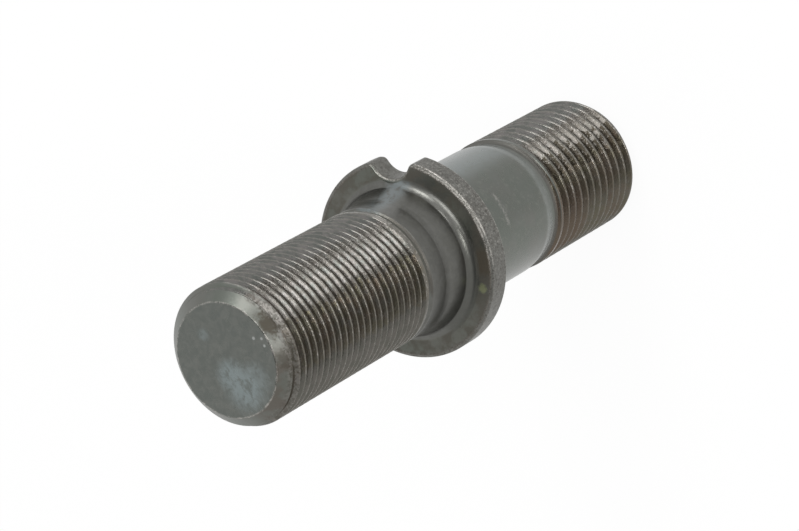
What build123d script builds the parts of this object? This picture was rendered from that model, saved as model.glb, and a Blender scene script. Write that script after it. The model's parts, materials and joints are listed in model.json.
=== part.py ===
"""Double-ended wheel stud, turned from one bar, with a notched collar between its two threads.

The stud stands on its hub end: the axis is +Z and the origin is the centre of that end.
The notch in the collar faces +X. Sizes are in millimetres.
"""
import os

from build123d import *

# Hub end, at the foot: the short thread that screws into the hub
HUB_THREAD_DIAMETER = 22.0
HUB_THREAD_LENGTH = 26.2
HUB_END_CHAMFER = 2.25

# Run-out groove above the hub thread
HUB_GROOVE_DIAMETER = 21.1
HUB_GROOVE_LENGTH = 1.0

# Plain shank, tapered into the groove below and filleted to the collar above
SHANK_DIAMETER = 21.8
SHANK_LENGTH = 20.4
SHANK_TAPER_LENGTH = 2.0
SHANK_SHOULDER_RADIUS = 6.0
SEAT_FILLET = 0.8

# Collar that is drawn down on the hub, with a shallow bevel round its wheel side
COLLAR_DIAMETER = 31.8
COLLAR_THICKNESS = 4.0
COLLAR_BEVEL_WIDTH = 0.5
COLLAR_BEVEL_HEIGHT = 0.25
COLLAR_SEAT_CHAMFER = 0.3

# Half-round notch through the rim of the collar, which keeps the stud from turning
NOTCH_RADIUS = 3.5
NOTCH_DEPTH = 3.1
NOTCH_LIP_RADIUS = 0.8
NOTCH_CUTTER_OVERRUN = 1.0

# Low conical boss on the wheel side of the collar
BOSS_BASE_DIAMETER = 24.0
BOSS_LENGTH = 4.9
BOSS_FILLET = 1.5
BOSS_BLEND_RADIUS = 6.0

# Plain neck above the boss, and the fine run-out groove between it and the wheel thread
NECK_DIAMETER = 21.9
NECK_LENGTH = 4.3
WHEEL_GROOVE_DIAMETER = 21.2
WHEEL_GROOVE_LENGTH = 0.6

# Wheel end, at the top: the long thread that takes the wheel nut
WHEEL_THREAD_DIAMETER = 22.0
WHEEL_THREAD_LENGTH = 36.6
WHEEL_END_CHAMFER = 2.25

# Radii of the turned steps
HUB_THREAD_RADIUS = HUB_THREAD_DIAMETER / 2
HUB_GROOVE_RADIUS = HUB_GROOVE_DIAMETER / 2
SHANK_RADIUS = SHANK_DIAMETER / 2
COLLAR_RADIUS = COLLAR_DIAMETER / 2
BOSS_BASE_RADIUS = BOSS_BASE_DIAMETER / 2
NECK_RADIUS = NECK_DIAMETER / 2
WHEEL_GROOVE_RADIUS = WHEEL_GROOVE_DIAMETER / 2
WHEEL_THREAD_RADIUS = WHEEL_THREAD_DIAMETER / 2

# Heights where one step ends and the next begins, from the foot up
HUB_GROOVE_BOTTOM = HUB_THREAD_LENGTH
TAPER_BOTTOM = HUB_GROOVE_BOTTOM + HUB_GROOVE_LENGTH
SHANK_BOTTOM = TAPER_BOTTOM + SHANK_TAPER_LENGTH
COLLAR_BOTTOM = SHANK_BOTTOM + SHANK_LENGTH
COLLAR_TOP = COLLAR_BOTTOM + COLLAR_THICKNESS
NECK_BOTTOM = COLLAR_TOP + BOSS_LENGTH
WHEEL_GROOVE_BOTTOM = NECK_BOTTOM + NECK_LENGTH
WHEEL_THREAD_BOTTOM = WHEEL_GROOVE_BOTTOM + WHEEL_GROOVE_LENGTH
TOP = WHEEL_THREAD_BOTTOM + WHEEL_THREAD_LENGTH

# Depths of the 45 degree lips where the run-out grooves meet the threads and the neck
HUB_THREAD_LIP = HUB_THREAD_RADIUS - HUB_GROOVE_RADIUS
WHEEL_THREAD_LIP = WHEEL_THREAD_RADIUS - WHEEL_GROOVE_RADIUS
NECK_LIP = NECK_RADIUS - WHEEL_GROOVE_RADIUS


def turned_section():
    """Half section of the turned stud, as radius against height, with its corners rounded."""
    shoulder = (SHANK_RADIUS, SHANK_BOTTOM)
    seat_corner = (SHANK_RADIUS, COLLAR_BOTTOM)
    boss_corner = (BOSS_BASE_RADIUS, COLLAR_TOP)
    boss_blend = (NECK_RADIUS, NECK_BOTTOM)
    section = make_face(
        Polyline(
            (0, 0),
            (HUB_THREAD_RADIUS - HUB_END_CHAMFER, 0),
            (HUB_THREAD_RADIUS, HUB_END_CHAMFER),
            (HUB_THREAD_RADIUS, HUB_GROOVE_BOTTOM - HUB_THREAD_LIP),
            (HUB_GROOVE_RADIUS, HUB_GROOVE_BOTTOM),
            (HUB_GROOVE_RADIUS, TAPER_BOTTOM),
            shoulder,
            seat_corner,
            (COLLAR_RADIUS - COLLAR_SEAT_CHAMFER, COLLAR_BOTTOM),
            (COLLAR_RADIUS, COLLAR_BOTTOM + COLLAR_SEAT_CHAMFER),
            (COLLAR_RADIUS, COLLAR_TOP - COLLAR_BEVEL_HEIGHT),
            (COLLAR_RADIUS - COLLAR_BEVEL_WIDTH, COLLAR_TOP),
            boss_corner,
            boss_blend,
            (NECK_RADIUS, WHEEL_GROOVE_BOTTOM - NECK_LIP),
            (WHEEL_GROOVE_RADIUS, WHEEL_GROOVE_BOTTOM),
            (WHEEL_GROOVE_RADIUS, WHEEL_THREAD_BOTTOM),
            (WHEEL_THREAD_RADIUS, WHEEL_THREAD_BOTTOM + WHEEL_THREAD_LIP),
            (WHEEL_THREAD_RADIUS, TOP - WHEEL_END_CHAMFER),
            (WHEEL_THREAD_RADIUS - WHEEL_END_CHAMFER, TOP),
            (0, TOP),
            close=True,
        )
    )
    rounded_corners = (
        (shoulder, SHANK_SHOULDER_RADIUS),
        (seat_corner, SEAT_FILLET),
        (boss_corner, BOSS_FILLET),
        (boss_blend, BOSS_BLEND_RADIUS),
    )
    for corner, radius in rounded_corners:
        nearest = section.vertices().sort_by_distance((*corner, 0))[0]
        section = fillet(nearest, radius)
    return section


def notch_cutter():
    """Slot with a half-round bottom, flared where its walls round over into the rim."""
    slot_centre = COLLAR_RADIUS - NOTCH_DEPTH + NOTCH_RADIUS
    rim_with_notch = Circle(COLLAR_RADIUS) - Pos(slot_centre, 0) * Circle(NOTCH_RADIUS)
    rim_with_notch = fillet(rim_with_notch.vertices(), NOTCH_LIP_RADIUS)
    reach = 2 * (NOTCH_RADIUS + NOTCH_LIP_RADIUS)
    opening = Pos(slot_centre, 0) * Rectangle(reach, reach) - rim_with_notch
    foot = COLLAR_BOTTOM - NOTCH_CUTTER_OVERRUN
    return extrude(Pos(0, 0, foot) * opening, COLLAR_THICKNESS + 2 * NOTCH_CUTTER_OVERRUN)


def wheel_stud():
    """The finished stud: the turned body with the notch cut through its collar."""
    turned_body = revolve(Plane.XZ * turned_section(), axis=Axis.Z)
    return turned_body - notch_cutter()


os.makedirs("parts", exist_ok=True)
export_step(wheel_stud(), "parts/wheel_stud.step")
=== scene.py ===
"""Double-ended wheel stud: the turned body with both threads cut, its worn steel, and the studio.

Everything is in metres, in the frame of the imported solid: the stud stands on its hub end, its axis is
+Z, and the notch in its collar faces +X.
"""

import json
import math

import bmesh
import bpy
from mathutils import Matrix, Vector


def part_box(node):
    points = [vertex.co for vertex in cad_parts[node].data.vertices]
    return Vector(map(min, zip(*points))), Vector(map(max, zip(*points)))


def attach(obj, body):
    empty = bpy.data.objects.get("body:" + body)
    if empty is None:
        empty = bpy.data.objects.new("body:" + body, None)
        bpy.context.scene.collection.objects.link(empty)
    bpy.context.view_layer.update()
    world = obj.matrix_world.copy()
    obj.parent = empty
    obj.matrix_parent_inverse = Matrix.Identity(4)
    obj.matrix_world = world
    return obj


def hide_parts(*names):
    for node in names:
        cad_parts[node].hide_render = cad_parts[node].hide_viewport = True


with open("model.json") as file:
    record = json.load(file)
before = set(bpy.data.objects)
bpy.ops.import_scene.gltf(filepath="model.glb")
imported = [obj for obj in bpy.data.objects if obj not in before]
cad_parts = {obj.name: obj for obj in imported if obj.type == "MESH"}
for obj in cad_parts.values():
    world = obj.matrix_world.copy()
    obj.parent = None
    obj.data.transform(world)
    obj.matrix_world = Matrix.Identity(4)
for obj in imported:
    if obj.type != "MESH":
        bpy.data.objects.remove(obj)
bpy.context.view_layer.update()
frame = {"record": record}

MM = 0.001

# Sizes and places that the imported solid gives
stud_low, stud_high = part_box("wheel_stud")
mounts = {mount["name"]: mount for mount in frame["record"]["mounts"]}
STUD_TOP = stud_high.z
COLLAR_RADIUS = min(-stud_low.x, stud_high.y)
THREAD_RADIUS = mounts["wheel_nut_thread"]["dims"]["r_mm"] * MM
COLLAR_BOTTOM = mounts["collar_seat"]["pos_m"][2]
NOTCH_CENTRE = mounts["locating_notch"]["pos_m"][0]
NOTCH_RADIUS = mounts["locating_notch"]["dims"]["r_mm"] * MM
COLLAR_THICKNESS = mounts["locating_notch"]["dims"]["length_mm"] * MM
COLLAR_TOP = COLLAR_BOTTOM + COLLAR_THICKNESS

# Turned steps between the threads
END_CHAMFER = 2.25 * MM
HUB_THREAD_LENGTH = 26.2 * MM
HUB_GROOVE_RADIUS = 10.55 * MM
HUB_GROOVE_LENGTH = 1.0 * MM
SHANK_RADIUS = 10.9 * MM
SHANK_TAPER_LENGTH = 2.0 * MM
BOSS_BASE_RADIUS = 12.0 * MM
BOSS_LENGTH = 4.9 * MM
NECK_RADIUS = 10.95 * MM
NECK_LENGTH = 4.3 * MM
WHEEL_GROOVE_RADIUS = 10.6 * MM
WHEEL_GROOVE_LENGTH = 0.6 * MM
COLLAR_BEVEL_WIDTH = 0.5 * MM
COLLAR_BEVEL_HEIGHT = 0.25 * MM
COLLAR_SEAT_CHAMFER = 0.3 * MM
NOTCH_LIP_RADIUS = 1.3 * MM
NOTCH_EDGE_RADIUS = 0.5 * MM

# How far along its two edges each turned corner is rounded
END_ROUNDING = 0.15 * MM
HUB_GROOVE_ROUNDING = 0.2 * MM
SHOULDER_ROUNDING = 0.5 * MM
SEAT_ROUNDING = 0.8 * MM
RIM_ROUNDING = 0.1 * MM
BOSS_ROUNDING = 1.2 * MM
BOSS_BLEND_ROUNDING = 0.6 * MM
NECK_LIP_ROUNDING = 0.1 * MM

# Heights where one step ends and the next begins
SHANK_BOTTOM = HUB_THREAD_LENGTH + HUB_GROOVE_LENGTH + SHANK_TAPER_LENGTH
NECK_BOTTOM = COLLAR_TOP + BOSS_LENGTH
NECK_TOP = NECK_BOTTOM + NECK_LENGTH
WHEEL_THREAD_BOTTOM = NECK_TOP + WHEEL_GROOVE_LENGTH

# Threads: both are right-hand, and the wheel end is finer than the hub end
WHEEL_PITCH = 1.5 * MM
WHEEL_THREAD_START = math.radians(-45)
WHEEL_THREAD_FOOT = WHEEL_THREAD_BOTTOM + 0.44 * MM
HUB_PITCH = 2.0 * MM
HUB_THREAD_START = math.radians(10)

# Section of the thread grooves, in shares of the pitch
GROOVE_DEPTH = 0.60
ROOT_HALF_WIDTH = 0.075
ROOT_ROUNDING = 0.06
CREST_HALF_WIDTH = 0.095
CREST_ROUNDING = 0.06
CUTTER_HALF_WIDTH = 0.485

# How a thread cutter stands over the crests, and how its ends rise out of the metal
CUTTER_OVERHANG = 0.3 * MM
CREST_SKIM = 0.01 * MM
RUN_OUT_TURNS = 0.8
RUN_OUT_CURVE = 1.5
RUN_OUT_CLEARANCE = 0.02

# How finely round surfaces are divided, and what counts as one place
TURN_STEPS = 128
CORNER_STEPS = 5
GROOVE_CORNER_STEPS = 2
NOTCH_WALL_STEPS = 24
NOTCH_LIP_STEPS = 8
NOTCH_EDGE_STEPS = 4
SMOOTH_ANGLE = math.radians(35)
SAME_PLACE = 0.001 * MM
MERGE_DISTANCE = 0.0002 * MM


def deselect_all():
    """Leaves nothing selected, so the next operator acts on its own piece alone."""
    if bpy.context.mode != "OBJECT":
        bpy.ops.object.mode_set(mode="OBJECT")
    bpy.ops.object.select_all(action="DESELECT")


def make_active(piece):
    """Selects one piece alone, in object mode."""
    deselect_all()
    piece.select_set(True)
    bpy.context.view_layer.objects.active = piece


def enter_edit(piece):
    """Opens one piece in edit mode with nothing in it selected."""
    make_active(piece)
    bpy.ops.object.mode_set(mode="EDIT")
    bpy.ops.mesh.select_all(action="DESELECT")


def select_vertices(piece, chosen):
    """Selects the vertices of the piece in edit mode whose place passes the test."""
    bpy.ops.mesh.select_mode(type="VERT")
    shape = bmesh.from_edit_mesh(piece.data)
    for vertex in shape.verts:
        vertex.select = chosen(vertex.co)
    shape.select_flush_mode()
    bmesh.update_edit_mesh(piece.data)


def select_edges(piece, chosen):
    """Selects the edges of the piece in edit mode that pass the test."""
    bpy.ops.mesh.select_mode(type="EDGE")
    shape = bmesh.from_edit_mesh(piece.data)
    for edge in shape.edges:
        edge.select = chosen(edge)
    shape.select_flush_mode()
    bmesh.update_edit_mesh(piece.data)


def draw_wire(name, points):
    """A wire drawn by extruding one vertex from point to point; it is left in edit mode."""
    deselect_all()
    bpy.ops.mesh.primitive_plane_add(size=MM)
    wire = bpy.context.object
    wire.name = name
    bpy.ops.object.mode_set(mode="EDIT")
    bpy.ops.mesh.select_mode(type="VERT")
    bpy.ops.mesh.select_all(action="SELECT")
    bpy.ops.mesh.merge(type="CENTER")
    bpy.ops.transform.translate(value=points[0])
    for here, there in zip(points, points[1:]):
        bpy.ops.mesh.extrude_region_move(TRANSFORM_OT_translate={"value": there - here})
    return wire


def draw_section(name, corners, rounding_steps):
    """A wire in the XZ plane with its corners rounded.

    Each corner is its radius, its height and how far along its two edges it is rounded.
    """
    wire = draw_wire(name, [Vector((radius, 0, height)) for radius, height, rounding in corners])
    for radius, height, rounding in corners:
        if rounding:
            corner = Vector((radius, 0, height))
            select_vertices(wire, lambda place: (place - corner).length < SAME_PLACE)
            bpy.ops.mesh.bevel(offset=rounding, segments=rounding_steps, affect="VERTICES")
    return wire


def close_mesh(piece):
    """Merges doubles and turns every face outwards."""
    enter_edit(piece)
    bpy.ops.mesh.select_all(action="SELECT")
    bpy.ops.mesh.remove_doubles(threshold=MERGE_DISTANCE)
    bpy.ops.mesh.normals_make_consistent(inside=False)
    bpy.ops.object.mode_set(mode="OBJECT")


def scale_mesh(piece, factor):
    """Scales the mesh of a piece about the origin and leaves the piece itself unscaled."""
    make_active(piece)
    piece.scale = (factor, factor, factor)
    bpy.ops.object.transform_apply(location=False, rotation=False, scale=True)


def cut_away(body, cutter):
    """Takes the cutter's shape out of the body and deletes the cutter."""
    make_active(body)
    cut = body.modifiers.new("cut", "BOOLEAN")
    cut.operation = "DIFFERENCE"
    cut.solver = "MANIFOLD"
    cut.object = cutter
    bpy.ops.object.modifier_apply(modifier=cut.name)
    bpy.data.objects.remove(cutter)


def turned_body():
    """The body as it leaves the lathe: one section spun round the axis."""
    hub_lip = THREAD_RADIUS - HUB_GROOVE_RADIUS
    wheel_lip = THREAD_RADIUS - WHEEL_GROOVE_RADIUS
    neck_lip = NECK_RADIUS - WHEEL_GROOVE_RADIUS
    taper_bottom = HUB_THREAD_LENGTH + HUB_GROOVE_LENGTH
    end_radius = THREAD_RADIUS - END_CHAMFER
    body = draw_section("stud_body", (
        (0, 0, 0),
        (end_radius, 0, END_ROUNDING),
        (THREAD_RADIUS, END_CHAMFER, END_ROUNDING),
        (THREAD_RADIUS, HUB_THREAD_LENGTH - hub_lip, 0),
        (HUB_GROOVE_RADIUS, HUB_THREAD_LENGTH, HUB_GROOVE_ROUNDING),
        (HUB_GROOVE_RADIUS, taper_bottom, HUB_GROOVE_ROUNDING),
        (SHANK_RADIUS, SHANK_BOTTOM, SHOULDER_ROUNDING),
        (SHANK_RADIUS, COLLAR_BOTTOM, SEAT_ROUNDING),
        (COLLAR_RADIUS - COLLAR_SEAT_CHAMFER, COLLAR_BOTTOM, RIM_ROUNDING),
        (COLLAR_RADIUS, COLLAR_BOTTOM + COLLAR_SEAT_CHAMFER, RIM_ROUNDING),
        (COLLAR_RADIUS, COLLAR_TOP - COLLAR_BEVEL_HEIGHT, RIM_ROUNDING),
        (COLLAR_RADIUS - COLLAR_BEVEL_WIDTH, COLLAR_TOP, RIM_ROUNDING),
        (BOSS_BASE_RADIUS, COLLAR_TOP, BOSS_ROUNDING),
        (NECK_RADIUS, NECK_BOTTOM, BOSS_BLEND_ROUNDING),
        (NECK_RADIUS, NECK_TOP - neck_lip, NECK_LIP_ROUNDING),
        (WHEEL_GROOVE_RADIUS, NECK_TOP, NECK_LIP_ROUNDING),
        (WHEEL_GROOVE_RADIUS, WHEEL_THREAD_BOTTOM, 0),
        (THREAD_RADIUS, WHEEL_THREAD_BOTTOM + wheel_lip, 0),
        (THREAD_RADIUS, STUD_TOP - END_CHAMFER, END_ROUNDING),
        (end_radius, STUD_TOP, END_ROUNDING),
        (0, STUD_TOP, 0),
    ), CORNER_STEPS)
    bpy.ops.mesh.select_all(action="SELECT")
    bpy.ops.mesh.spin(steps=TURN_STEPS, angle=math.tau, center=(0, 0, 0), axis=(0, 0, 1))
    close_mesh(body)
    return body


def arc(centre, radius, start, end, steps):
    """Points along an arc in the XY plane, both ends included."""
    angles = [start + (end - start) * step / steps for step in range(steps + 1)]
    return [centre + radius * Vector((math.cos(angle), math.sin(angle), 0)) for angle in angles]


def notch_outline(foot):
    """The notch seen along the stud: half-round inside, flared where its walls round over to the rim."""
    rim_reach = COLLAR_RADIUS - NOTCH_LIP_RADIUS
    wall_reach = NOTCH_RADIUS + NOTCH_LIP_RADIUS
    lip_x = (rim_reach ** 2 - wall_reach ** 2 + NOTCH_CENTRE ** 2) / (2 * NOTCH_CENTRE)
    lip_y = math.sqrt(rim_reach ** 2 - lip_x ** 2)
    to_rim = math.atan2(lip_y, lip_x)
    to_wall = math.atan2(-lip_y, NOTCH_CENTRE - lip_x)
    left_lip = Vector((lip_x, lip_y, foot))
    right_lip = Vector((lip_x, -lip_y, foot))
    notch_middle = Vector((NOTCH_CENTRE, 0, foot))
    flare = arc(left_lip, NOTCH_LIP_RADIUS, to_rim, to_wall, NOTCH_LIP_STEPS)
    wall = arc(notch_middle, NOTCH_RADIUS, math.pi + to_wall, math.pi - to_wall, NOTCH_WALL_STEPS)
    far_flare = arc(right_lip, NOTCH_LIP_RADIUS, -to_wall, -to_rim, NOTCH_LIP_STEPS)
    outside = COLLAR_RADIUS + NOTCH_RADIUS
    mouth = [Vector((outside, far_flare[-1].y, foot)), Vector((outside, flare[0].y, foot))]
    return flare + wall[1:] + far_flare[1:] + mouth


def raise_face(height):
    """Extrudes the selected face upwards."""
    bpy.ops.mesh.extrude_region_move(TRANSFORM_OT_translate={"value": (0, 0, height)})


def notch_cutter():
    """The bar that cuts the notch through the collar and rounds over its edge on the wheel side."""
    foot = COLLAR_BOTTOM - COLLAR_THICKNESS / 2
    cutter = draw_wire("notch_cutter", notch_outline(foot))
    bpy.ops.mesh.select_all(action="SELECT")
    bpy.ops.mesh.edge_face_add()
    raise_face(COLLAR_TOP - NOTCH_EDGE_RADIUS - foot)
    # Over the rounded edge the bar widens in the steps of a quarter circle
    reach = NOTCH_RADIUS
    height = 0.0
    for step in range(1, NOTCH_EDGE_STEPS + 1):
        angle = math.pi / 2 * step / NOTCH_EDGE_STEPS
        next_reach = NOTCH_RADIUS + NOTCH_EDGE_RADIUS * (1 - math.cos(angle))
        next_height = NOTCH_EDGE_RADIUS * math.sin(angle)
        raise_face(next_height - height)
        widening = next_reach / reach
        bpy.ops.transform.resize(value=(widening, widening, 1), center_override=(NOTCH_CENTRE, 0, foot))
        reach = next_reach
        height = next_height
    raise_face(COLLAR_THICKNESS / 2)
    close_mesh(cutter)
    return cutter


def run_out(cutter, pitch, foot, turns, fades_at_foot):
    """Lifts the ends of a helical cutter out of the metal over their last part of a turn."""
    depth = (GROOVE_DEPTH + RUN_OUT_CLEARANCE) * pitch
    for vertex in cutter.data.vertices:
        x, y, z = vertex.co
        share = math.atan2(y, x) / math.tau % 1.0
        turn = round((z - foot) / pitch - share) + share
        left = turns - turn
        if fades_at_foot:
            left = min(left, turn)
        if left < RUN_OUT_TURNS:
            lift = depth * (1 - left / RUN_OUT_TURNS) ** RUN_OUT_CURVE
            radius = math.hypot(x, y)
            vertex.co.x = x * (radius + lift) / radius
            vertex.co.y = y * (radius + lift) / radius


def groove_section(name, pitch, foot):
    """The section of a thread cutter: the space between two crests, closed outside the metal."""
    outside = THREAD_RADIUS + CUTTER_OVERHANG
    half_width = CUTTER_HALF_WIDTH * pitch
    crest = THREAD_RADIUS - CREST_SKIM
    crest_width = (0.5 - CREST_HALF_WIDTH) * pitch
    crest_rounding = CREST_ROUNDING * pitch
    root = THREAD_RADIUS - GROOVE_DEPTH * pitch
    root_width = ROOT_HALF_WIDTH * pitch
    root_rounding = ROOT_ROUNDING * pitch
    section = draw_section(name, (
        (outside, foot + half_width, 0),
        (crest, foot + half_width, 0),
        (crest, foot + crest_width, crest_rounding),
        (root, foot + root_width, root_rounding),
        (root, foot - root_width, root_rounding),
        (crest, foot - crest_width, crest_rounding),
        (crest, foot - half_width, 0),
        (outside, foot - half_width, 0),
    ), GROOVE_CORNER_STEPS)
    select_vertices(section, lambda place: place.x > outside - SAME_PLACE)
    bpy.ops.mesh.edge_face_add()
    return section


def thread_cutter(name, pitch, start, foot, turns, fades_at_foot):
    """A right-hand helical cutter, made by a screw of the groove's section."""
    cutter = groove_section(name, pitch, foot)
    bpy.ops.object.mode_set(mode="OBJECT")
    screw = cutter.modifiers.new("screw", "SCREW")
    screw.axis = "Z"
    screw.angle = math.tau
    screw.screw_offset = pitch
    screw.iterations = turns
    screw.steps = TURN_STEPS
    screw.render_steps = TURN_STEPS
    screw.use_merge_vertices = False
    bpy.ops.object.modifier_apply(modifier=screw.name)
    enter_edit(cutter)
    middle = foot + turns * pitch / 2
    select_edges(cutter, lambda edge: edge.is_boundary and edge.verts[0].co.z < middle)
    bpy.ops.mesh.edge_face_add()
    select_edges(cutter, lambda edge: edge.is_boundary and edge.verts[0].co.z > middle)
    bpy.ops.mesh.edge_face_add()
    bpy.ops.object.mode_set(mode="OBJECT")
    run_out(cutter, pitch, foot, turns, fades_at_foot)
    enter_edit(cutter)
    bpy.ops.mesh.select_all(action="SELECT")
    bpy.ops.mesh.normals_make_consistent(inside=False)
    # With no window this operator turns the other way
    bpy.ops.transform.rotate(value=-start, orient_axis="Z", center_override=(0, 0, 0))
    bpy.ops.object.mode_set(mode="OBJECT")
    return cutter


def flatten_normals(body):
    """Keeps flanks and faces flat up to their rounded edges.

    The modifier needs faces of a size that it can weigh, so the mesh is in millimetres for this step.
    """
    scale_mesh(body, 1 / MM)
    flatten = body.modifiers.new("flatten", "WEIGHTED_NORMAL")
    flatten.mode = "FACE_AREA"
    flatten.weight = 100
    flatten.keep_sharp = True
    bpy.ops.object.modifier_apply(modifier=flatten.name)
    scale_mesh(body, MM)


def wheel_stud():
    """The finished stud: turned, notched and threaded."""
    body = turned_body()
    cut_away(body, notch_cutter())
    # The wheel thread starts above the neck and runs out over the end chamfer
    wheel_turns = round((STUD_TOP - WHEEL_THREAD_BOTTOM) / WHEEL_PITCH)
    cut_away(body, thread_cutter("wheel_groove", WHEEL_PITCH, WHEEL_THREAD_START, WHEEL_THREAD_FOOT,
                                 wheel_turns, fades_at_foot=True))
    # The hub thread runs off the foot of the stud
    hub_turns = math.ceil(HUB_THREAD_LENGTH / HUB_PITCH) + 1
    hub_foot = HUB_THREAD_LENGTH - hub_turns * HUB_PITCH
    cut_away(body, thread_cutter("hub_groove", HUB_PITCH, HUB_THREAD_START, hub_foot,
                                 hub_turns, fades_at_foot=False))
    close_mesh(body)
    make_active(body)
    bpy.ops.object.shade_smooth_by_angle(angle=SMOOTH_ANGLE)
    flatten_normals(body)
    return body


class Shade:
    """One output of a shader node; arithmetic on it adds Math nodes."""

    def __init__(self, finish, socket):
        self.finish = finish
        self.socket = socket

    def maths(self, operation, *terms):
        return self.finish.node("ShaderNodeMath", {"operation": operation}, dict(enumerate(terms)))

    def __add__(self, other):
        return self.maths("ADD", self, other)

    def __radd__(self, other):
        return self.maths("ADD", other, self)

    def __sub__(self, other):
        return self.maths("SUBTRACT", self, other)

    def __rsub__(self, other):
        return self.maths("SUBTRACT", other, self)

    def __mul__(self, other):
        return self.maths("MULTIPLY", self, other)

    def __rmul__(self, other):
        return self.maths("MULTIPLY", other, self)

    def __truediv__(self, other):
        return self.maths("DIVIDE", self, other)

    def __pow__(self, other):
        return self.maths("POWER", self, other)

    def __abs__(self):
        return self.maths("ABSOLUTE", self)

    def both(self, other):
        return self.maths("MINIMUM", self, other)

    def either(self, other):
        return self.maths("MAXIMUM", self, other)


class Finish:
    """The node tree of one material or of the world, filled by the expressions below."""

    def __init__(self, owner):
        owner.use_nodes = True
        self.tree = owner.node_tree
        self.tree.nodes.clear()

    def node(self, kind, settings=None, inputs=None, output=0):
        """Adds a node, sets it up, feeds its sockets and returns one of its outputs."""
        made = self.tree.nodes.new(kind)
        for name, value in (settings or {}).items():
            setattr(made, name, value)
        for name, value in (inputs or {}).items():
            if isinstance(value, Shade):
                self.tree.links.new(value.socket, made.inputs[name])
            else:
                made.inputs[name].default_value = value
        return Shade(self, made.outputs[output]) if made.outputs else made

    def rise(self, value, low, high):
        """0 below low, 1 above high and smooth between; low may be the greater one."""
        return self.node("ShaderNodeMapRange", {"interpolation_type": "SMOOTHSTEP"},
                         {"Value": value, "From Min": low, "From Max": high,
                          "To Min": 0.0, "To Max": 1.0})

    def band(self, value, low, high, blur):
        """1 between low and high, falling to 0 over the blur outside them."""
        return self.rise(value, low - blur, low) * self.rise(value, high + blur, high)

    def mix(self, mask, first, second):
        """Blends two colours by a mask."""
        colours = {6: first, 7: second}
        for name, value in colours.items():
            if isinstance(value, tuple):
                colours[name] = (*value, 1.0)
        return self.node("ShaderNodeMix", {"data_type": "RGBA"}, {0: mask, **colours}, output=2)

    def stretch(self, vector, x, y, z):
        """The vector with each of its parts scaled by itself."""
        return self.node("ShaderNodeVectorMath", {"operation": "MULTIPLY"}, {0: vector, 1: (x, y, z)})

    def distance(self, vector, point):
        """How far the vector is from a point."""
        return self.node("ShaderNodeVectorMath", {"operation": "DISTANCE"}, {0: vector, 1: point},
                         output="Value")

    def grain(self, vector, scale, detail=3.0, roughness=0.55, distortion=0.0):
        """Soft noise about 0.5, in features of 1 / scale."""
        return self.node("ShaderNodeTexNoise", {},
                         {"Vector": vector, "Scale": scale, "Detail": detail, "Roughness": roughness,
                          "Distortion": distortion})


# Places on the stud in millimetres, for its finish
THREAD_MM = THREAD_RADIUS / MM
TOP_MM = STUD_TOP / MM
CHAMFER_MM = END_CHAMFER / MM
CHAMFER_FOOT_MM = TOP_MM - CHAMFER_MM
END_FACE_MM = THREAD_MM - CHAMFER_MM
COLLAR_MM = COLLAR_RADIUS / MM
COLLAR_TOP_MM = COLLAR_TOP / MM
COLLAR_BOTTOM_MM = COLLAR_BOTTOM / MM
HUB_TOP_MM = HUB_THREAD_LENGTH / MM
NECK_TOP_MM = NECK_TOP / MM
SHANK_RUB_MM = 40.0
BUMP_HEIGHT = 0.2 * MM

# Colours of the plain surfaces
PHOSPHATE_WARM = (0.151, 0.153, 0.139)
PHOSPHATE_GREEN = (0.139, 0.151, 0.134)
PHOSPHATE_PALE = (0.172, 0.175, 0.163)
NECK_DARK = (0.126, 0.126, 0.116)
NECK_PALE = (0.146, 0.146, 0.136)
# Painted reflection: pale sheen on the shank's notch side
SHANK_PAINTED_SHEEN = (0.215, 0.236, 0.234)
# Painted shade: darker front side of the shank
SHANK_PAINTED_SHADE = (0.110, 0.118, 0.106)
SHANK_MARKS = (0.175, 0.182, 0.162)
SHANK_RING = (0.205, 0.220, 0.207)
SHANK_RUB = (0.29, 0.282, 0.265)
# Painted reflection: bluish patch on the boss
BOSS_PAINTED_REFLECTION = (0.195, 0.222, 0.228)
END_FACE_DARK = (0.120, 0.129, 0.119)
END_FACE_PALE = (0.146, 0.152, 0.140)
END_FACE_BLOOM = (0.215, 0.250, 0.252)
END_FACE_SPECKS = (0.32, 0.33, 0.32)
RIM_DARK = (0.132, 0.127, 0.115)
RIM_PALE = (0.178, 0.175, 0.162)
RIM_PITS = (0.055, 0.050, 0.043)

# Colours of the threads and of what lies on them
THREAD_DARK = (0.135, 0.141, 0.130)
THREAD_PALE = (0.196, 0.187, 0.179)
THREAD_SMUDGE = (0.102, 0.091, 0.078)
FILM_OLIVE = (0.144, 0.132, 0.085)
FILM_BROWN = (0.168, 0.136, 0.098)
# Painted shade and painted glints in a band above the lit flanks
BAND_PAINTED_SHADE = (0.082, 0.072, 0.060)
BAND_PAINTED_GLINT = (0.27, 0.262, 0.25)
OIL_BROWN = (0.030, 0.025, 0.017)
# Brown tint with painted shade on the lower side of the threads
TARNISH_AND_SHADE_BROWN = (0.097, 0.088, 0.070)
RUST_BROWN = (0.118, 0.084, 0.064)
THREAD_START_DARK = (0.085, 0.074, 0.060)
THREAD_START_PALE = (0.29, 0.278, 0.26)
# Dirt with painted shade in the thread roots
GROOVE_DIRT_AND_SHADE = (0.050, 0.040, 0.028)
CREST_GREY = (0.20, 0.190, 0.168)

# Colours of the chamfer, the collar and bare steel
CHAMFER_SATIN = (0.125, 0.110, 0.094)
CHAMFER_STAIN = (0.066, 0.057, 0.044)
COLLAR_GRIME_AND_SHADE = (0.064, 0.052, 0.036)
# Grime with painted shade on the collar's face
HUB_LIP_GREY = (0.080, 0.077, 0.068)
# Painted shade on one side of the boss fillet
FILLET_PAINTED_SHADE = (0.086, 0.087, 0.078)
PAINT_SPECK = (0.28, 0.30, 0.17)
# Bare steel, also the colour of the painted glints on the crests
BRIGHT_STEEL_AND_GLINT = (0.46, 0.44, 0.41)


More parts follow.
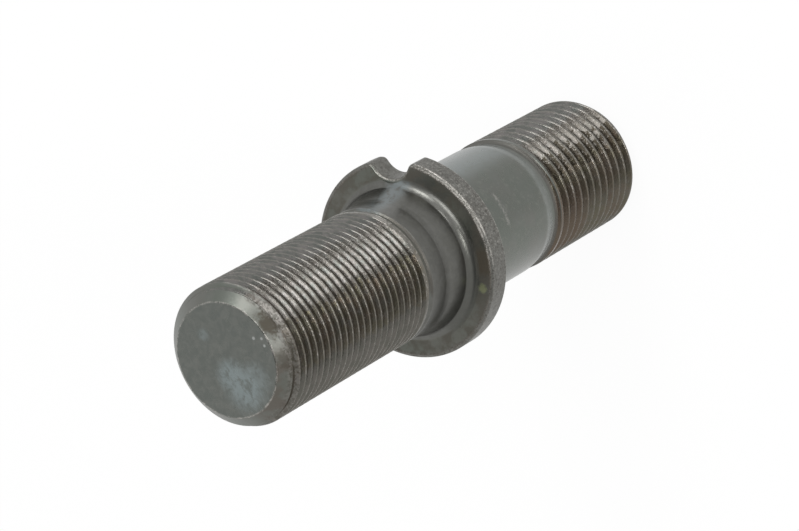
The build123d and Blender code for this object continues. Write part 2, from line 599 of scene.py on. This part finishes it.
class StudFinish(Finish):
    """A finish laid out on the stud: places in millimetres, noise of several sizes, and masks."""

    def __init__(self, owner):
        super().__init__(owner)
        self.find_places()
        self.scatter_noise()
        self.mark_threads()
        self.mark_plain_surfaces()
        self.mark_sides()
        self.mark_thread_dirt()
        self.mark_stains()

    def find_places(self):
        """Where a point is: its coordinates, and its distance from the axis."""
        metres = self.node("ShaderNodeTexCoord", output="Object")
        self.place = self.node("ShaderNodeVectorMath", {"operation": "SCALE"},
                               {0: metres, "Scale": 1 / MM})
        self.x = self.node("ShaderNodeSeparateXYZ", {}, {0: self.place}, output="X")
        self.y = self.node("ShaderNodeSeparateXYZ", {}, {0: self.place}, output="Y")
        self.z = self.node("ShaderNodeSeparateXYZ", {}, {0: self.place}, output="Z")
        self.radius = (self.x * self.x + self.y * self.y) ** 0.5

    def scatter_noise(self):
        """Noise from broad blotches down to grit, and two kinds that are drawn out round the axis."""
        self.blotches = self.grain(self.place, 0.16, detail=4.0)
        self.patches = self.grain(self.place, 0.45, detail=4.0, roughness=0.6)
        self.smears = self.grain(self.place, 0.8, detail=5.0, roughness=0.65, distortion=0.6)
        self.specks = self.grain(self.place, 2.2, detail=3.0, roughness=0.6)
        self.grit = self.grain(self.place, 4.2, detail=2.0, roughness=0.65)
        round_axis = self.stretch(self.place, 0.12, 0.12, 2.5)
        self.turned = self.grain(round_axis, 1.0, detail=4.0, roughness=0.65)
        along_crests = self.stretch(self.place, 0.7, 0.7, 2.4)
        self.rubs = self.grain(along_crests, 1.0, detail=5.0, roughness=0.7)

    def side(self, azimuth, reach, blur, wobble=0.0):
        """1 within so many degrees of an azimuth, falling to 0 over the blur."""
        turn = math.radians(azimuth)
        ahead = (self.x * math.cos(turn) + self.y * math.sin(turn)) / self.radius.either(0.1)
        degrees = self.node("ShaderNodeMath", {"operation": "ARCCOSINE"}, {0: ahead}) * math.degrees(1)
        return self.rise(degrees + wobble, reach + blur, reach)

    def spot(self, point, reach, wobble=0.0):
        """1 at a point, falling to 0 at the reach."""
        return self.rise(self.distance(self.place, point) + wobble, reach, 0.35 * reach)

    def edge(self, across, along, reach):
        """1 on a line that two distances give, falling raggedly to 0 at the reach."""
        away = (across * across + along * along) ** 0.5
        return self.rise(away + (self.specks - 0.5) * reach, reach, 0.3 * reach)

    def mark_threads(self):
        """The two threads, how deep a point lies in their grooves, and the end chamfer's own cone."""
        z = self.z
        self.on_hub_end = self.rise(z, COLLAR_BOTTOM_MM, HUB_TOP_MM)
        uncut_radius = (z + END_FACE_MM).both(TOP_MM - z + END_FACE_MM).both(THREAD_MM)
        below = uncut_radius - self.radius
        pitch = WHEEL_PITCH / MM + (HUB_PITCH - WHEEL_PITCH) / MM * self.on_hub_end
        self.depth = below / pitch
        wheel_thread = self.band(z, NECK_TOP_MM + 0.9, CHAMFER_FOOT_MM - 0.1, 0.2)
        hub_thread = self.band(z, CHAMFER_MM + 0.1, HUB_TOP_MM - 1.2, 0.2)
        self.full_thread = wheel_thread.either(hub_thread)
        past_neck = self.rise(z, NECK_TOP_MM + 0.5, NECK_TOP_MM + 0.9)
        past_shank = self.rise(z, HUB_TOP_MM + 0.2, HUB_TOP_MM - 0.3)
        off_end_faces = self.band(z, 0.06, TOP_MM - 0.06, 0.04)
        in_groove = self.rise(below, 0.06, 0.16) * past_neck.either(past_shank) * off_end_faces
        self.on_thread = self.full_thread.either(in_groove)
        on_cone = self.rise(below, 0.12, 0.04)
        self.on_chamfer = self.band(z, CHAMFER_FOOT_MM, TOP_MM - 0.05, 0.05) * on_cone

    def mark_plain_surfaces(self):
        """The neck, the end face, the collar with its notch, and the shank."""
        z = self.z
        radius = self.radius
        self.on_neck = self.band(z, COLLAR_TOP_MM + 0.1, NECK_TOP_MM, 0.1) * self.rise(radius, 13.6, 13.0)
        self.on_end_face = self.rise(z, TOP_MM - 0.06, TOP_MM - 0.01)
        face_level = self.rise(abs(z - COLLAR_TOP_MM), 0.08, 0.03)
        self.on_collar_face = face_level * self.rise(radius, 12.6, 13.2)
        on_collar = self.band(z, COLLAR_BOTTOM_MM, COLLAR_TOP_MM, 0.05)
        on_rim = on_collar * self.rise(radius, COLLAR_MM - 1.0, COLLAR_MM - 0.5)
        aside = self.x - NOTCH_CENTRE / MM
        self.notch_wall = (aside * aside + self.y * self.y) ** 0.5 - NOTCH_RADIUS / MM
        in_notch = on_collar * self.rise(abs(self.notch_wall), 0.3, 0.1) * self.rise(radius, 12.4, 12.7)
        self.rough_skin = on_rim.either(in_notch)
        self.on_shank = self.band(z, HUB_TOP_MM + 1.2, COLLAR_BOTTOM_MM - 0.2, 0.2)
        self.on_shank_ring = self.band(z, HUB_TOP_MM + 1.2, HUB_TOP_MM + 2.7, 0.5)
        self.hub_lip = self.band(z, HUB_TOP_MM - 0.5, HUB_TOP_MM + 0.3, 0.15)

    def mark_sides(self):
        """The sides that were handled, oiled and worn, and the lower side with its tarnish and painted
        shade, each with a ragged border.
        """
        ragged = self.patches - 0.5
        torn = self.smears - 0.5
        self.dirty_side = self.side(-61, 34, 8, 24 * ragged)
        self.oily_side = self.side(-83, 18, 5, 26 * ragged)
        self.worn_side = self.side(-52, 26, 22, 30 * ragged)
        self.under_side = self.side(-118, 28, 22, 24 * ragged)
        self.hub_under_side = self.side(-99, 36, 8, 30 * torn) * self.on_hub_end
        self.hub_oily_side = self.side(-56, 8, 5, 75 * torn) * self.on_hub_end
        self.oil_line = self.side(-62, 3, 3, 45 * torn) * (1.0 - self.on_hub_end)
        self.start_side = self.side(-70, 30, 28, 40 * torn).either(0.6 * self.under_side)

    def mark_thread_dirt(self):
        """The rubbed crests, the dirt and painted shade in the grooves, the oil, and the rough start of
        the wheel thread.
        """
        z = self.z
        below_start = self.rise(z, CHAMFER_FOOT_MM - 0.8, CHAMFER_FOOT_MM - 1.4)
        crest = self.rise(self.depth, 0.07, 0.02) * self.full_thread * below_start
        crest = crest * (1.0 - (0.35 + 0.25 * self.on_hub_end) * self.under_side)
        self.crest = crest * (1.0 - self.band(z, HUB_TOP_MM - 1.6, HUB_TOP_MM + 0.5, 0.4))
        # Dirt with painted shade: the roots of the grooves darkened where the next crest would shade them
        groove = self.rise(self.depth, 0.34, 0.42) * self.on_thread
        groove = groove * (1.0 - 0.85 * self.rise(z, CHAMFER_FOOT_MM, CHAMFER_FOOT_MM + 0.4))
        neck_groove = self.band(z, NECK_TOP_MM - 0.4, NECK_TOP_MM + 0.6, 0.1)
        neck_groove = neck_groove * self.rise(self.radius, 10.93, 10.85) * self.dirty_side
        self.groove = groove.either(0.5 * neck_groove)
        oiled = self.hub_oily_side.either(0.65 * self.oil_line)
        self.oil = self.on_thread * oiled * (1.0 - self.crest)
        first_turn = self.band(z, CHAMFER_FOOT_MM - 1.2, CHAMFER_FOOT_MM + 0.9, 0.4)
        self.thread_start = first_turn * self.start_side

    def mark_stains(self):
        """The stains on the chamfer, and the grime with painted shade on the collar's face."""
        blots = 5.0 * (self.smears - 0.5) + 3.0 * (self.specks - 0.5)
        stain = self.spot((5.6, -8.3, TOP_MM - 1.5), 2.8, blots)
        small_stain = self.spot((0.0, -9.6, TOP_MM - 1.4), 2.2, blots)
        self.stain = stain.either(0.6 * small_stain) * self.on_chamfer
        # Grime with painted shade: the collar's face darkened in the recess next to the boss, most of all
        # on one side
        grime_and_shade = self.on_collar_face * (0.4 + 0.6 * self.rise(self.patches, 0.4, 0.6))
        thick_grime_and_shade = self.spot((0.0, -14.1, COLLAR_TOP_MM), 4.0, 2.5 * (self.smears - 0.5))
        self.grime_and_shade = grime_and_shade.either(1.5 * self.on_collar_face * thick_grime_and_shade)


def plain_coat(steel):
    """Phosphate as it comes from the bath, a little darker on the neck."""
    rise = steel.rise
    colour = steel.mix(rise(steel.blotches, 0.35, 0.65), PHOSPHATE_WARM, PHOSPHATE_GREEN)
    colour = steel.mix(rise(steel.patches, 0.45, 0.75) * 0.5, colour, PHOSPHATE_PALE)
    neck_grey = steel.mix(rise(steel.smears, 0.35, 0.65), NECK_DARK, NECK_PALE)
    return steel.mix(steel.on_neck, colour, neck_grey)


def shank_and_boss(steel, colour):
    """A painted reflection as a pale sheen on the shank's notch side, painted shade on its front side, a
    painted reflection on the boss, faint marks and a ring on the shank, and one long rub.
    """
    rise = steel.rise
    smears = steel.smears
    torn = smears - 0.5
    # Painted reflection: the shank's notch side made paler, as if it mirrored brighter surroundings
    shank_painted_sheen = steel.on_shank * steel.side(-4, 8, 26, 20 * torn)
    # Painted shade: the shank's front side made darker, as if it mirrored darker surroundings
    shank_painted_shade = steel.on_shank * steel.side(-55, 18, 14, 20 * torn)
    shank_marks = steel.on_shank * rise(0.5 * smears + 0.5 * steel.specks, 0.52, 0.62)
    # Painted reflection: a bluish patch on the boss, as if it mirrored a bright window
    boss_painted_reflection = steel.on_neck * steel.side(-6, 5, 9, 16 * torn) * rise(smears, 0.35, 0.55)
    ring = steel.on_shank_ring * (0.35 + 0.4 * rise(smears, 0.4, 0.6))
    off_rub = abs(steel.z - SHANK_RUB_MM + 1.8 * (steel.specks - 0.5))
    rub = rise(off_rub, 0.50, 0.12) * steel.side(-67, 12, 4)
    rub = rub * rise(0.5 * steel.rubs + 0.5 * steel.grit, 0.40, 0.56)
    colour = steel.mix(shank_painted_sheen * 0.75, colour, SHANK_PAINTED_SHEEN)
    colour = steel.mix(shank_painted_shade * 0.35, colour, SHANK_PAINTED_SHADE)
    colour = steel.mix(shank_marks * 0.5, colour, SHANK_MARKS)
    colour = steel.mix(boss_painted_reflection * 0.7, colour, BOSS_PAINTED_REFLECTION)
    colour = steel.mix(ring, colour, SHANK_RING)
    return steel.mix(rub * 0.7, colour, SHANK_RUB)


def end_face(steel, colour):
    """The flat end: dark grey, with a pale bloom in streaks that run across it, and a few specks."""
    rise = steel.rise
    x = steel.x
    y = steel.y
    smears = steel.smears
    across = steel.node("ShaderNodeCombineXYZ", {},
                        {0: 0.35 * (x + 0.5 * y), 1: 1.3 * (y - 0.5 * x), 2: 0.0})
    streaks = steel.grain(across, 1.0, detail=5.0, roughness=0.65, distortion=0.4)
    torn = streaks - 0.5
    bloom = steel.spot((-2.4, -0.5, TOP_MM), 3.4, 3.2 * torn)
    bloom = bloom.either(steel.spot((-4.0, -2.6, TOP_MM), 4.6, 5.0 * torn))
    bloom = bloom.either(0.6 * steel.spot((-2.6, -4.6, TOP_MM), 3.4, 4.0 * torn))
    bloom = bloom.either(0.5 * steel.spot((3.7, 3.4, TOP_MM), 1.3, 1.6 * torn))
    bloom = bloom * steel.on_end_face * (0.25 + 0.75 * rise(0.5 * streaks + 0.5 * smears, 0.40, 0.54))
    specks = steel.spot((3.6, -5.6, TOP_MM), 0.35)
    specks = specks.either(steel.spot((3.6, -7.0, TOP_MM), 0.3))
    specks = specks.either(steel.spot((2.55, -7.3, TOP_MM), 0.3))
    face_grey = steel.mix(rise(smears, 0.35, 0.7), END_FACE_DARK, END_FACE_PALE)
    colour = steel.mix(steel.on_end_face, colour, face_grey)
    colour = steel.mix(bloom * 0.85, colour, END_FACE_BLOOM)
    return steel.mix(steel.on_end_face * specks, colour, END_FACE_SPECKS)


def rough_rim(steel, colour):
    """The forged skin of the collar's rim and its notch, with dark pits."""
    rise = steel.rise
    pits = steel.rough_skin * rise(0.5 * steel.specks + 0.5 * steel.grit, 0.47, 0.39)
    skin_grey = steel.mix(rise(steel.smears, 0.35, 0.65), RIM_DARK, RIM_PALE)
    colour = steel.mix(steel.rough_skin * 0.85, colour, skin_grey)
    return steel.mix(pits * 0.6, colour, RIM_PITS)


def oiled_threads(steel, colour):
    """The threads under smudges, a brown film, a band of painted shade and painted glints, dark oil, brown
    tarnish with painted shade on the lower side, and a little rust.
    """
    rise = steel.rise
    mix = steel.mix
    z = steel.z
    on_thread = steel.on_thread
    on_hub_end = steel.on_hub_end
    smears = steel.smears
    specks = steel.specks
    ragged = steel.patches - 0.5
    thread_grey = mix(rise(steel.rubs, 0.38, 0.62), THREAD_DARK, THREAD_PALE)
    colour = mix(on_thread, colour, thread_grey)

    smudge = steel.dirty_side * rise(0.5 * smears + 0.5 * specks + 0.04 * on_hub_end, 0.43, 0.57)
    foot_smudge = on_hub_end * steel.dirty_side * rise(z + 8.0 * ragged, 20.0, 14.0)
    smudge = on_thread * smudge.either(foot_smudge)
    colour = mix(smudge * 0.65, colour, THREAD_SMUDGE)

    film_streaks = rise(smears, 0.38, 0.62)
    film = steel.oily_side * (0.4 + 0.6 * film_streaks)
    film = on_thread * film.either(steel.hub_under_side * (0.5 + 0.5 * film_streaks))
    film_colour = mix(rise(steel.patches, 0.42, 0.58), FILM_OLIVE, FILM_BROWN)
    colour = mix(film * 0.80, colour, film_colour)

    # Painted shade and painted glints: a narrow band just above the lit flanks, standing for a lamp's edge
    # and the dark beside it
    glint_and_shade_band = on_thread * steel.side(-30, 5, 3, 9 * ragged)
    colour = mix(glint_and_shade_band * rise(specks, 0.56, 0.44) * 0.6, colour, BAND_PAINTED_SHADE)
    colour = mix(glint_and_shade_band * rise(steel.grit, 0.58, 0.66) * 0.5, colour, BAND_PAINTED_GLINT)

    colour = mix(steel.oil * 0.9, colour, OIL_BROWN)
    # Brown tint with painted shade: the lower side of the threads made darker and browner
    colour = mix(on_thread * steel.under_side * 0.55, colour, TARNISH_AND_SHADE_BROWN)

    rust = film * rise(steel.blotches, 0.48, 0.60) * (0.6 + 0.4 * on_hub_end)
    hub_rust = steel.hub_under_side * on_thread * rise(z, 14.0, 19.0) * steel.under_side
    colour = mix(rust.either(1.4 * hub_rust) * 0.40, colour, RUST_BROWN)

    start_grey = mix(rise(0.4 * smears + 0.6 * specks, 0.43, 0.56), THREAD_START_DARK, THREAD_START_PALE)
    return mix(steel.thread_start * 0.45, colour, start_grey)


def dirt_and_painted_shade(steel, colour):
    """Dirt and painted shade in the grooves, grey crests, stains on the chamfer, grime and painted shade
    on the collar's face, and painted shade on one side of the boss fillet.
    """
    rise = steel.rise
    mix = steel.mix
    satin = steel.on_chamfer * steel.under_side * (0.35 + 0.65 * rise(steel.patches, 0.42, 0.58))
    fillet_level = steel.band(steel.z, COLLAR_TOP_MM + 0.02, COLLAR_TOP_MM + 1.4, 0.1)
    on_fillet = steel.band(steel.radius, 11.9, 13.3, 0.2) * fillet_level
    # Painted shade: one side of the boss fillet darkened to hold back its highlight there
    fillet_painted_shade = on_fillet * steel.side(-104, 38, 16)
    paint_speck = steel.spot((-4.1, -13.5, COLLAR_TOP_MM), 1.0, 0.9 * (steel.specks - 0.5))
    # Dirt and painted shade in the thread roots
    colour = mix(steel.groove * 0.9, colour, GROOVE_DIRT_AND_SHADE)
    colour = mix(steel.crest * (0.35 + 0.5 * rise(steel.rubs, 0.4, 0.6)), colour, CREST_GREY)
    colour = mix(satin * 0.75, colour, CHAMFER_SATIN)
    colour = mix(steel.stain * 0.85, colour, CHAMFER_STAIN)
    # Grime and painted shade on the collar's face
    colour = mix(steel.grime_and_shade * 0.6, colour, COLLAR_GRIME_AND_SHADE)
    colour = mix(steel.hub_lip * 0.8, colour, HUB_LIP_GREY)
    colour = mix(fillet_painted_shade * 0.6, colour, FILLET_PAINTED_SHADE)
    return mix(steel.on_collar_face * paint_speck * 0.8, colour, PAINT_SPECK)


def wear_and_painted_glints(steel):
    """Where the coat is rubbed through: along edges, in spots on the crests, in grains on the rim; with
    painted glints in a band on the crests.
    """
    rise = steel.rise
    edge = steel.edge
    z = steel.z
    radius = steel.radius
    patches = steel.patches
    smears = steel.smears
    specks = steel.specks
    grit = steel.grit
    end_edge = edge(radius - END_FACE_MM, z - TOP_MM, 0.20) * (0.35 + 0.65 * rise(smears, 0.4, 0.6))
    chamfer_edge = edge(radius - THREAD_MM, z - CHAMFER_FOOT_MM, 0.22) * rise(smears, 0.42, 0.58)
    bevel_foot = edge(radius - COLLAR_MM, z - COLLAR_TOP_MM + COLLAR_BEVEL_HEIGHT / MM, 0.26)
    bevel_top = edge(radius - COLLAR_MM + COLLAR_BEVEL_WIDTH / MM, z - COLLAR_TOP_MM, 0.22)
    seat_edge = edge(radius - COLLAR_MM, z - COLLAR_BOTTOM_MM - COLLAR_SEAT_CHAMFER / MM, 0.2)
    rim_edges = bevel_foot.either(bevel_top).either(seat_edge) * (0.12 + 0.88 * steel.worn_side)
    notch_edge = edge(steel.notch_wall - 0.15, z - COLLAR_TOP_MM + 0.15, 0.25) * rise(radius, 15.0, 14.0)
    edges = end_edge.either(rim_edges).either(0.6 * notch_edge).either(0.7 * chamfer_edge)
    edges = edges * rise(0.5 * patches + 0.5 * grit, 0.42, 0.58)

    crest_spots = steel.crest * rise(0.4 * steel.rubs + 0.6 * specks, 0.55, 0.63)
    crest_spots = crest_spots * (0.3 + 0.6 * steel.dirty_side)
    # Painted highlight: glints on the crests along one side, standing for a lamp on their rounding
    crest_painted_glints = steel.crest * steel.side(-24, 3, 4, 24 * (smears - 0.5))
    thread_grains = rise(grit, 0.58, 0.70) * rise(patches, 0.40, 0.58) * steel.on_thread
    thread_grains = thread_grains * steel.dirty_side
    rim_grains = rise(0.5 * specks + 0.5 * grit, 0.54, 0.62) * (0.35 + 0.65 * steel.worn_side)
    rim_grains = rim_grains * steel.rough_skin
    wear_and_glints = (0.85 * edges).either(crest_spots).either(0.4 * crest_painted_glints)
    return wear_and_glints.either(0.4 * rim_grains).either(0.5 * thread_grains)


def phosphated_steel():
    """Dark phosphate on steel: rubbed bright on crests and edges, with painted glints on the crests, oily
    brown with painted shade in the grooves.
    """
    material = bpy.data.materials.new("phosphated_steel")
    steel = StudFinish(material)
    colour = plain_coat(steel)
    colour = shank_and_boss(steel, colour)
    colour = end_face(steel, colour)
    colour = rough_rim(steel, colour)
    colour = oiled_threads(steel, colour)
    colour = dirt_and_painted_shade(steel, colour)
    # Bright steel where the coat is worn through, and painted glints on the crests
    colour = steel.mix(wear_and_painted_glints(steel), colour, BRIGHT_STEEL_AND_GLINT)

    roughness = 0.24 + 0.08 * steel.patches + 0.02 * steel.on_neck + 0.15 * steel.rough_skin
    roughness = roughness - 0.04 * steel.on_thread + 0.25 * steel.groove + 0.05 * steel.oil
    roughness = roughness + 0.12 * steel.on_chamfer + 0.1 * steel.stain + 0.15 * steel.thread_start
    roughness = roughness + 0.15 * steel.grime_and_shade + 0.2 * steel.hub_lip
    metallic = 1.0 - (0.4 * steel.groove).either(0.3 * steel.grime_and_shade).either(0.5 * steel.hub_lip)

    relief = 0.3 * steel.grit + 0.35 * steel.specks + 0.35 * steel.turned
    strength = 0.10 + 0.20 * steel.rough_skin + 0.12 * steel.on_thread + 0.30 * steel.thread_start
    normal = steel.node("ShaderNodeBump", {},
                        {"Strength": strength, "Distance": BUMP_HEIGHT, "Height": relief})
    surface = steel.node("ShaderNodeBsdfPrincipled", {},
                         {"Base Color": colour, "Roughness": roughness, "Metallic": metallic,
                          "Normal": normal})
    steel.node("ShaderNodeOutputMaterial", {}, {"Surface": surface})
    return material


# Studio: a floor, pale walls, a dim ceiling and soft lamps, all at a plain level
WHITE = (1.0, 1.0, 1.0, 1.0)
FLOOR_COLOUR = (0.9, 0.9, 0.9, 1.0)
FLOOR_SIZE = 4.0
FLOOR_WHITENESS = 0.93
WALL_LIGHT = 0.92
CEILING_LIGHT = 0.22
WALL_TOP = 0.74
CEILING_EDGE = 0.90
LAMP_DISTANCE = 0.9

# Camera, at the photograph's viewing angle and rolled so that the stud lies across the frame
VIEW_AZIMUTH = math.radians(25.563)
VIEW_ELEVATION = math.radians(51.016)
VIEW_ROLL = math.radians(-119.45)
CAMERA_AZIMUTH = math.radians(25.5)
CAMERA_REACH = 317.9 * MM
CAMERA_RISE = 348.2 * MM
CAMERA_LENS = 149.4
CAMERA_SENSOR = 36.0


def pale_floor():
    """White where it is seen or mirrored, and otherwise a pale matt floor that takes the shadow."""
    material = bpy.data.materials.new("pale_floor")
    finish = Finish(material)
    camera_ray = finish.node("ShaderNodeLightPath", output="Is Camera Ray")
    glossy_ray = finish.node("ShaderNodeLightPath", output="Is Glossy Ray")
    clear_ray = finish.node("ShaderNodeLightPath", output="Is Transmission Ray")
    seen = camera_ray.either(glossy_ray).either(clear_ray)
    matt = finish.node("ShaderNodeBsdfDiffuse", {}, {"Color": FLOOR_COLOUR})
    white = finish.node("ShaderNodeEmission", {}, {"Color": WHITE, "Strength": 1.0})
    both = finish.node("ShaderNodeMixShader", {}, {0: seen * FLOOR_WHITENESS, 1: matt, 2: white})
    finish.node("ShaderNodeOutputMaterial", {}, {"Surface": both})
    return material


def studio_floor():
    """The floor that the stud stands on."""
    deselect_all()
    bpy.ops.mesh.primitive_plane_add(size=FLOOR_SIZE)
    floor = bpy.context.object
    floor.name = "floor"
    floor.data.materials.append(pale_floor())
    return floor


def studio_world():
    """Pale walls and a dim ceiling round the floor."""
    world = bpy.data.worlds.new("studio")
    finish = Finish(world)
    direction = finish.node("ShaderNodeTexCoord", output="Generated")
    height = finish.node("ShaderNodeSeparateXYZ", {}, {0: direction}, output="Z")
    light = WALL_LIGHT + (CEILING_LIGHT - WALL_LIGHT) * finish.rise(height, WALL_TOP, CEILING_EDGE)
    backdrop = finish.node("ShaderNodeBackground", {}, {"Color": WHITE, "Strength": light})
    finish.node("ShaderNodeOutputWorld", {}, {"Surface": backdrop})
    bpy.context.scene.world = world


def softbox(name, direction, size, power):
    """A square soft lamp that looks at the middle of the stud from one direction."""
    lamp = bpy.data.lights.new(name, "AREA")
    lamp.size = size
    lamp.energy = power
    holder = bpy.data.objects.new(name, lamp)
    toward = Vector(direction).normalized()
    holder.location = Vector((0, 0, STUD_TOP / 2)) + toward * LAMP_DISTANCE
    holder.rotation_euler = toward.to_track_quat("Z", "Y").to_euler()
    holder.visible_camera = False
    bpy.context.collection.objects.link(holder)


def set_camera():
    """The camera that the picture is taken with."""
    camera_data = bpy.data.cameras.new("camera")
    camera_data.lens = CAMERA_LENS
    camera_data.sensor_width = CAMERA_SENSOR
    camera = bpy.data.objects.new("camera", camera_data)
    turn = Matrix.Rotation(VIEW_AZIMUTH, 3, "Z")
    tip = Matrix.Rotation(math.pi / 2 - VIEW_ELEVATION, 3, "X")
    roll = Matrix.Rotation(VIEW_ROLL, 3, "Z")
    camera.rotation_euler = (turn @ tip @ roll).to_euler()
    camera.location = (CAMERA_REACH * math.sin(CAMERA_AZIMUTH), -CAMERA_REACH * math.cos(CAMERA_AZIMUTH),
                       STUD_TOP + CAMERA_RISE)
    bpy.context.collection.objects.link(camera)
    bpy.context.scene.camera = camera


stud = wheel_stud()
stud.data.materials.clear()
stud.data.materials.append(phosphated_steel())
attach(stud, "root")
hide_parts("wheel_stud")

set_camera()
studio_floor()
softbox("flank_softbox", direction=(0.350, -0.163, 0.922), size=0.42, power=2.3)
softbox("chamfer_softbox", direction=(0.868, 0.0, 0.496), size=0.28, power=1.9)
softbox("front_softbox", direction=(0.15, -0.768, 0.623), size=0.18, power=1.1)
softbox("low_softbox", direction=(0.758, -0.638, 0.138), size=0.20, power=0.6)
softbox("end_softbox", direction=(-0.27, 0.57, 0.78), size=0.7, power=0.35)
studio_world()
bpy.context.scene.view_settings.view_transform = "Standard"
